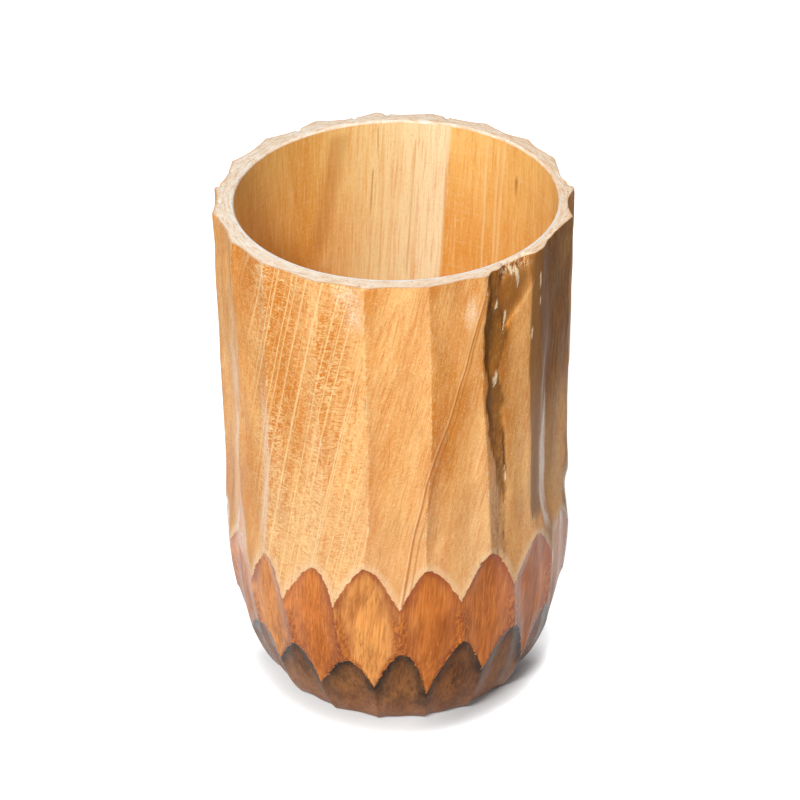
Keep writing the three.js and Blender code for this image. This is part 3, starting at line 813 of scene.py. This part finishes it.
brown = lay_over(tree, "#965a36", (
    (kept_value["tint"], "#bf804c"),
    (pattern["pooled"], 0.45, 0.68, 0.75, "#4c2c1a"),
    (pattern["streaked"], 0.46, 0.74, 0.7, "#3c2314"),
    (pattern["streaked"], 0.44, 0.28, 0.6, "#b87a3c"),
    # Paler and greyer towards the foot: a painted haze of reflected white
    (at["Z"], 14, 2, 0.55, "#a87458"),
    (in_lower, 10, 2, 0.5, "#3f2616"),
    (edge_of_brown, "#20130c"),
    (gold_chip, "#e6a850")))
finish = lay_over(tree, wood, [(in_upper, -0.12, 0.12, 1, red), (in_lower, -0.12, 0.12, 1, brown)])
lift = 0.0
for source, rise in (
        (pattern["fibre"], 0.02), (pattern["grit"], 0.012), (marks, 0.02), (dirt_and_shade, -0.1), (fibres, 0.1)):
    lift = add(tree, MATH, {0: source, 1: rise, 2: lift}, operation="MULTIPLY_ADD")

# The lacquer lies thicker low down, along the edges of the scales and on the sides of the cuts, most
# of all where the gouge went twice, so that there it shines. On the scales it is thin in the middle
# of the front and back, and thick at the cup's sides.
at_side = add(tree, RANGE, {0: from_middle, 1: 0.3, 2: 0.6, 3: 0.05, 4: 0.38})
at_side = add(tree, MATH, {0: at_side, 1: kept_value["polished"]}, operation="MAXIMUM")
glossy = together(tree, (at["Z"], 116, 96, 0.15, 1), at_side)
glossy = add(tree, MATH, {0: sheen_and_lacquer_band, 1: 0.15, 2: glossy}, operation="MULTIPLY_ADD", use_clamp=True)
round_side = add(tree, MATH, {0: at["X"]}, operation="ABSOLUTE")
round_side = add(tree, RANGE, {0: round_side, 1: 18, 2: 38, 3: 0.5, 4: 2.2})
on_scale = add(tree, RANGE, {0: in_upper, 1: 0, 2: 0.5, 3: 1, 4: round_side})
glossy = add(tree, MATH, {0: glossy, 1: on_scale}, operation="MULTIPLY", use_clamp=True)
end_material(tree, lift, 1, {
    "Base Color": finish, "Roughness": add(tree, RANGE, {0: pattern["fibre"], 3: 0.4, 4: 0.56}),
    "Specular IOR Level": 0.05, "Coat Weight": glossy, "Coat IOR": 1.45, "Coat Roughness": 0.16},
    ["Coat Normal"])

# The rim is sawn across the grain: pale, dry and fibrous, with fine saw marks, and its inner edge is
# rounded over. Along the near half of the rounding a white line is a painted highlight. Its fibres
# are drawn as streaks that run round it, half a millimetre wide: the way round the whole rim counts
# as a circle of this radius.
STREAK_CIRCLE = 6
end_grain, tree = new_material("sawn end grain, bare")
place, at = in_mm(tree)
flat = add(tree, VECTOR, {0: place, 1: (1, 1, 0)}, operation="MULTIPLY")
from_axis = add(tree, VECTOR, {0: flat}, out="Value", operation="LENGTH")
outward = add(tree, VECTOR, {0: flat}, operation="NORMALIZE")
outward = add(tree, VECTOR, {0: outward, 1: [STREAK_CIRCLE] * 3}, operation="MULTIPLY")
outward = add(tree, APART, {0: outward}).node.outputs
round_and_out = add(tree, "ShaderNodeCombineXYZ", {"X": outward["X"], "Y": outward["Y"], "Z": from_axis})
pattern = grain_patterns(tree, (
    ("fibre", round_and_out, 0.5, 1, 3, 0.65, 0), ("blotch", place, 8, 1, 2, 0.5, 0),
    ("saw_marks", place, 0.7, 1, 2, 0.5, 0)))
inward = add(tree, ATTRIBUTE, out="Fac", attribute_name="inward")
ragged = fray(tree, inward, pattern["fibre"], 0.12)
lip_highlight = together(tree, (inward, 0.93, 0.97), (at["Y"], 5, -25))
face = lay_over(tree, "#ffeed8", (
    (at["X"], -20, 44, 0.7, "#fbd9b6"),
    (pattern["blotch"], 0.45, 0.7, 0.4, "#f0cba4"),
    (pattern["fibre"], 0.5, 0.72, 0.7, "#d6a067"),
    (pattern["saw_marks"], 0.55, 0.72, 0.45, "#d29258"),
    (pattern["fibre"], 0.47, 0.3, 0.9, "#fffcf4"),
    (ragged, 0.16, 0.04, 0.65, "#dc9a50"),
    (lip_highlight, "#fffefb")))
end_material(tree, pattern["fibre"], 0.15, {"Base Color": face, "Roughness": 0.6, "Specular IOR Level": 0.15})

# The bore is turned smooth and lacquered: nearly upright streaks of the grain, a cream band of
# sapwood in the back wall, a few dark and light pores, and faint rings from the tool
BORE_LEAN = 0.065
bored, tree = new_material("turned hardwood, lacquered")
place, at = in_mm(tree)
upright = along_grain(tree, place, at["Z"], BORE_LEAN)
pattern = grain_patterns(tree, (
    ("streaks", upright, 2.4, 0.03, 3, 0.6, 0), ("fibre", upright, 0.5, 0.04, 2, 0.6, 0),
    ("broad", upright, 10, 0.2, 2, 0.6, 0), ("speck", upright, 0.55, 0.5, 2, 0.6, 0)))
rings_round = add(tree, VECTOR, {0: place, 1: (0.02, 0.02, 1)}, operation="MULTIPLY")
tool_rings = add(tree, NOISE, {"Vector": rings_round, "Scale": 1 / 0.6, "Detail": 1.0})
level_x = add(tree, APART, {0: upright}, out="X")
behind = add(tree, RANGE, {0: at["Y"], 1: 0, 2: 5})
soft_left = fray(tree, level_x, pattern["streaks"], 9)
sapwood = together(tree, (level_x, 6.9, 5.9), (soft_left, -30, -14), behind)
cream = lay_over(tree, "#f6da9e", [(level_x, -14, 4, 1, "#ffefc2")])
wood = lay_over(tree, "#eebc68", (
    (at["X"], -15, 15, 1, "#fbc570"),
    (pattern["broad"], 0.45, 0.7, 0.45, "#dc9840"),
    # Darker and more orange lower down: painted shade, as less light reaches down the bore
    (at["Z"], 142, 95, 0.7, "#df8c28"),
    (sapwood, 0, 1, 0.9, cream),
    (pattern["streaks"], 0.5, 0.72, 0.45, "#dc9036"),
    (pattern["streaks"], 0.42, 0.25, 0.3, "#fbd896"),
    (pattern["fibre"], 0.5, 0.72, 0.5, "#dd8c30"),
    (pattern["fibre"], 0.46, 0.28, 0.35, "#ffe0a2"),
    (pattern["speck"], 0.52, 0.72, 0.2, "#dc8628"),
    (pattern["speck"], 0.46, 0.3, 0.22, "#ffe6b4"),
    (tool_rings, 0.5, 0.7, 0.08, "#ffeecb")))

# The pores in the back wall: where each would meet the rim, how far right it leans for each mm up,
# its lowest and highest point and half its width in mm, its strength and its colour
wavy = fray(tree, at["X"], pattern["streaks"], 0.5)
for rim_x, lean, low, high, half_width, strength, colour in (
        (-4.1, 0.0, 136, 147, 0.2, 0.6, "#a2662b"), (-4.6, 0.07, 118, 134, 0.22, 0.55, "#a2662b"),
        (6.7, 0.07, 96, 143, 0.3, 0.4, "#cc9350"), (-14.0, 0.2, 108, 146, 2.2, 0.4, "#b9782f"),
        (25.9, 0.035, 60, 146, 0.25, 0.6, "#fbd79b"), (29.1, 0.043, 80, 146, 0.22, 0.55, "#fbd79b"),
        (30.7, 0.06, 60, 147, 0.25, 0.6, "#fbd79b"), (34.0, 0.05, 131, 139, 0.3, 0.7, "#a96f2c")):
    gap = add(tree, MATH, {0: at["Z"], 1: -lean, 2: lean * HEIGHT - rim_x}, operation="MULTIPLY_ADD")
    gap = add(tree, MATH, {0: gap, 1: wavy}, operation="ADD")
    gap = add(tree, MATH, {0: gap}, operation="ABSOLUTE")
    mark = together(tree, (gap, 1.6 * half_width, 0.4 * half_width, 0, strength), (at["Z"], low, low + 5),
                    (at["Z"], high, high - 2), behind)
    wood = lay_over(tree, wood, [(mark, colour)])
end_material(tree, tool_rings, 0.02, {
    "Base Color": wood, "Roughness": add(tree, RANGE, {0: pattern["fibre"], 3: 0.38, 4: 0.5}),
    "Specular IOR Level": 0.25, "Coat Weight": 0.2, "Coat Roughness": 0.2})

# The underside is turned too, but left bare: open end grain with rings from the tool
RING_SPACING = 4.6
bare, tree = new_material("turned end grain, bare")
place, at = in_mm(tree)
flat = add(tree, VECTOR, {0: place, 1: (1, 1, 0)}, operation="MULTIPLY")
from_axis = add(tree, VECTOR, {0: flat}, out="Value", operation="LENGTH")
growth = add(tree, VECTOR, {0: flat, 1: HEART}, out="Value", operation="DISTANCE")
growth = add(tree, MATH, {0: growth, 1: RING_SPACING / 2}, operation="PINGPONG")
out_only = add(tree, "ShaderNodeCombineXYZ", {"X": from_axis})
pattern = grain_patterns(tree, (
    ("fibre", place, 0.8, 1, 3, 0.6, 0), ("turning", out_only, 0.7, 1, 1, 0.5, 0)))
wood = lay_over(tree, "#d8a56c", (
    (growth, 0, RING_SPACING / 2, 1, "#c08a52"),
    (pattern["fibre"], 0.45, 0.7, 0.6, "#8f6036"),
    (pattern["turning"], 0.5, 0.7, 0.4, "#9b6a3c")))
end_material(tree, pattern["turning"], 0.15, {
    "Base Color": wood, "Roughness": 0.72, "Specular IOR Level": 0.3})
for coating in (lacquered, end_grain, bored, bare):
    mesh.materials.append(coating)
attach(cup, "root")
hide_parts("carved_body")

# The plug fills the hole where the heart of the billet was drilled out: a turned disc of the same
# wood, stepped to seat under the floor, and glued in from below.
GLUE_LINE = 0.15
PLUG_CHAMFER = 0.3
PLUG_SIDES = 96
PLUG_HEART = 0.5
flange, neck = PLUG_RADIUS - GLUE_LINE, shoulder_radius - GLUE_LINE
plug_profile = np.array([
    [PLUG_HEART, FOOT_RECESS], [flange / 2, FOOT_RECESS], [flange - PLUG_CHAMFER, FOOT_RECESS],
    [flange, FOOT_RECESS + PLUG_CHAMFER], [flange, shoulder_height], [neck, shoulder_height],
    [neck, FLOOR_THICKNESS - PLUG_CHAMFER], [neck - PLUG_CHAMFER, FLOOR_THICKNESS],
    [neck / 2, FLOOR_THICKNESS], [PLUG_HEART, FLOOR_THICKNESS]])
angle = np.arange(PLUG_SIDES) / PLUG_SIDES * math.tau
plug_rings = np.stack([plug_profile[:, :1] * np.cos(angle), plug_profile[:, :1] * np.sin(angle),
                       np.broadcast_to(plug_profile[:, 1:], (len(plug_profile), PLUG_SIDES))], axis=-1)
ends = [[0, 0, FOOT_RECESS], [0, 0, FLOOR_THICKNESS]]
index = np.arange(plug_rings[..., 0].size).reshape(plug_rings.shape[:2])
a, b = index[:-1], np.roll(index[:-1], -1, axis=1)
c, d = index[1:], np.roll(index[1:], -1, axis=1)
quads = np.stack([a, b, d, c], axis=-1).reshape(-1, 4)
caps = [(index.size, after, before) for before, after in zip(index[0], np.roll(index[0], -1))]
caps += [(index.size + 1, before, after) for before, after in zip(index[-1], np.roll(index[-1], -1))]
plug_mesh = bpy.data.meshes.new("fitted_plug")
plug_mesh.from_pydata(np.concatenate([plug_rings.reshape(-1, 3), ends]) * MM, [], quads.tolist() + caps)
plug = stand("fitted_plug", plug_mesh)
plug_mesh.materials.append(bare)
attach(plug, "root")
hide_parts("base_plug")

# The floor is white paper. What the camera sees of it glows white, and what gloss shows of it fades
# out away from the cup and is dimmed close round it, painted shade in what the cup reflects. The
# shadow close round the foot isn't the lamps' but a painted shadow: the glow itself drops where the
# foot closes in on the paper within this reach. It falls to nothing at the right of the front, away
# from the lamp, to three tenths at the left, and to about half beside and behind the cup.
CONTACT_REACH = 0.0075
AWAY_FROM_LAMP = (0.77, -0.64, 0)
floor_mesh = bpy.data.meshes.new("floor")
floor_mesh.from_pydata([(-3, -3, 0), (3, -3, 0), (3, 3, 0), (-3, 3, 0)], [], [(0, 1, 2, 3)])
floor = stand("floor", floor_mesh)
paper, tree = new_material("white paper")
ray = add(tree, "ShaderNodeLightPath").node.outputs
gloss = add(tree, MATH, {0: ray["Is Glossy Ray"], 1: ray["Is Transmission Ray"]}, operation="MAXIMUM")
place = add(tree, "ShaderNodeTexCoord", out="Object")
away = add(tree, VECTOR, {0: place}, out="Value", operation="LENGTH")
gloss = together(tree, gloss, (away, 0.17, 0.28, 1, 0.15), (away, 0.05, 0.09, 0.3, 1))
seen = add(tree, MATH, {0: ray["Is Camera Ray"], 1: gloss}, operation="MAXIMUM")
in_view = add(tree, "ShaderNodeAmbientOcclusion", {"Distance": CONTACT_REACH}, out="AO")
in_view = add(tree, MATH, {0: in_view, 1: 3.0}, operation="POWER")
to_right = add(tree, VECTOR, {0: place, 1: AWAY_FROM_LAMP}, out="Value", operation="DOT_PRODUCT")
lowest = add(tree, RANGE, {0: to_right, 1: 0.026, 2: 0.036, 3: 0.3, 4: 0})
beside_cup = add(tree, RANGE, {0: add(tree, APART, {0: place}, out="Y"), 1: -0.012, 2: -0.002, 3: 0, 4: 0.55})
lowest = add(tree, MATH, {0: lowest, 1: beside_cup}, operation="MAXIMUM")
seen = together(tree, seen, add(tree, RANGE, {0: in_view, 3: lowest, 4: 1}))
glow = add(tree, "ShaderNodeEmission", {"Strength": seen})
matt = add(tree, "ShaderNodeBsdfDiffuse", {"Color": (0.45, 0.45, 0.45, 1)})
add(tree, "ShaderNodeOutputMaterial", {"Surface": add(tree, "ShaderNodeAddShader", {0: matt, 1: glow})})
floor_mesh.materials.append(paper)

# The light: a white room that lights next to nothing, a soft lamp from the upper left of the
# camera, and two faint ones from the sides. Each lamp has its azimuth and elevation, its distance and
# width in metres, and its watts.
world = bpy.data.worlds.new("studio")
bpy.context.scene.world = world
world.use_nodes = True
tree = world.node_tree
tree.nodes.clear()
ray = add(tree, "ShaderNodeLightPath").node.outputs
seen = add(tree, MATH, {0: ray["Is Camera Ray"], 1: ray["Is Glossy Ray"]}, operation="MAXIMUM")
seen = add(tree, MATH, {0: seen, 1: ray["Is Transmission Ray"]}, operation="MAXIMUM")
strength = add(tree, RANGE, {0: seen, 3: 0.03, 4: 1.0})
add(tree, "ShaderNodeOutputWorld", {"Surface": add(tree, "ShaderNodeBackground", {"Strength": strength})})


def facing(side, upward, towards, place):
    """A world matrix with these three axes, at a place."""
    rows = zip(np.stack([side, upward, towards], axis=1), place)
    return Matrix([(*row, at) for row, at in rows] + [(0, 0, 0, 1)])


def lamp(name, azimuth, elevation, distance, size, power):
    """A disc of light at an azimuth and elevation in degrees, turned to the middle of the cup."""
    data = bpy.data.lights.new(name, "AREA")
    data.shape = "DISK"
    data.size = size
    data.energy = power
    turn, up = math.radians(azimuth), math.radians(elevation)
    away = np.array([math.sin(turn) * math.cos(up), -math.cos(turn) * math.cos(up), math.sin(up)])
    side = np.cross([0, 0, 1], away)
    side /= np.linalg.norm(side)
    place = away * distance + [0, 0, HEIGHT / 2 * MM]
    stand(name, data).matrix_world = facing(side, np.cross(away, side), away, place)


lamp("key", -21, 45, 1.4, 0.3, 21.5)
lamp("left fill", -60, 15, 1.4, 0.6, 1.2)
lamp("right fill", 62, 30, 1.4, 0.6, 3.2)

# The camera stands in front, 0.7 m away, and looks down at the cup
CAMERA_AT = (0.00106, -0.59684, 0.47977)
FOCAL_LENGTH = 117
PITCH = math.radians(33.560)
ROLL = math.radians(-0.7087)
forward = np.array([0, math.cos(PITCH), -math.sin(PITCH)])
level = np.array([1.0, 0, 0])
side = math.cos(ROLL) * level + math.sin(ROLL) * np.cross(level, forward)
view = bpy.data.cameras.new("camera")
view.sensor_width = 36
view.lens = FOCAL_LENGTH
camera = stand("camera", view)
camera.matrix_world = facing(side, np.cross(side, forward), -forward, CAMERA_AT)
bpy.context.scene.camera = camera
bpy.context.scene.view_settings.view_transform = "Standard"
